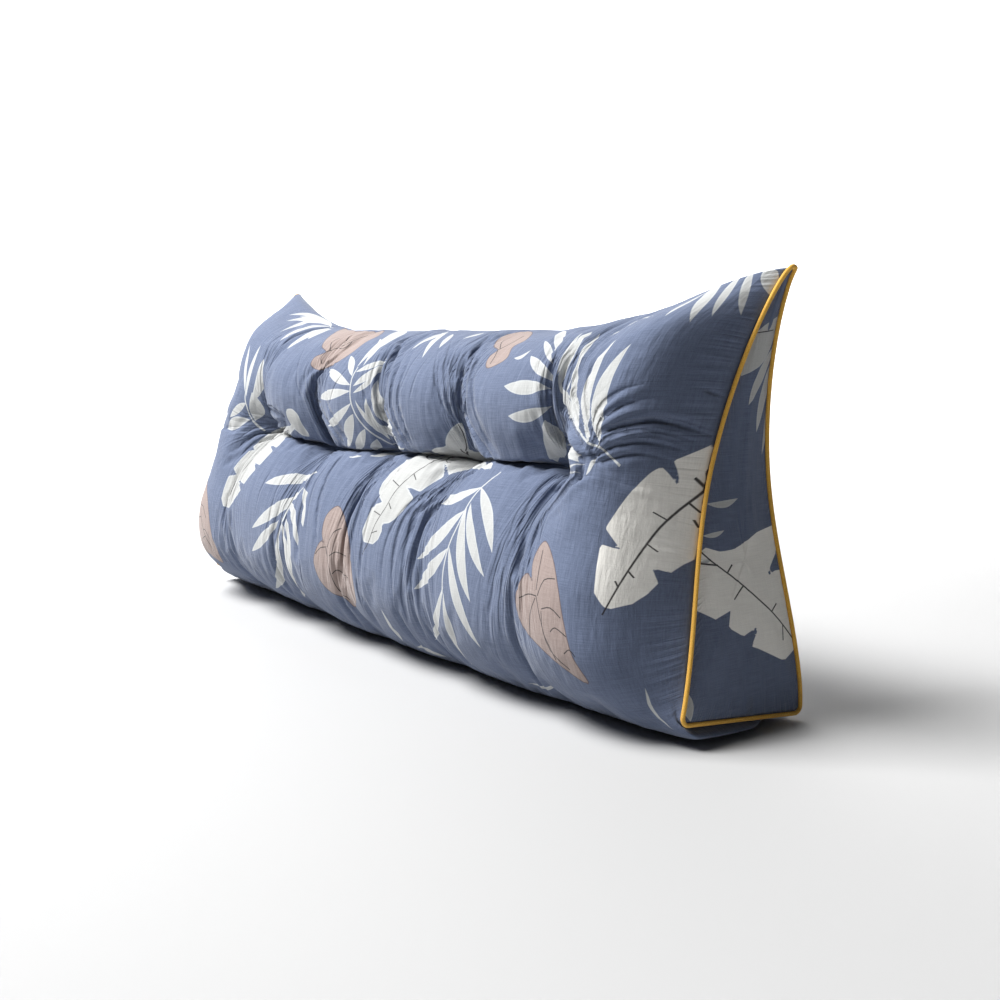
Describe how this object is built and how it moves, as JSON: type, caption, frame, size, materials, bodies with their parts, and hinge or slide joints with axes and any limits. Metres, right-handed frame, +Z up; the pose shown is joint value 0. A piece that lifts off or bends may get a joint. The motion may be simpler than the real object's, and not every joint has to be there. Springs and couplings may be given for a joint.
{
  "type": "wedge backrest pillow",
  "caption": "Long filled wedge cushion with a tufted front in an upper and a lower roll, raised ends, triangular end panels and contrast piping, standing on its base.",
  "frame": {"origin": "under the middle of the cushion, on the surface that it stands on", "axes": "+X along the cushion, towards its right end as seen from the front; -Y out of the tufted front, +Z up"},
  "size_m": [0.8166, 0.2032, 0.3616],
  "materials": {
    "cover_cloth": "matte woven cloth with a printed leaf pattern",
    "piping_cloth": "matte bias-cut cotton over a cord"
  },
  "bodies": {
    "root": {"cushion_body": "cover_cloth", "end_panel_left": "cover_cloth", "end_panel_right": "cover_cloth", "piping_left": "piping_cloth", "piping_right": "piping_cloth"}
  },
  "joints": []
}
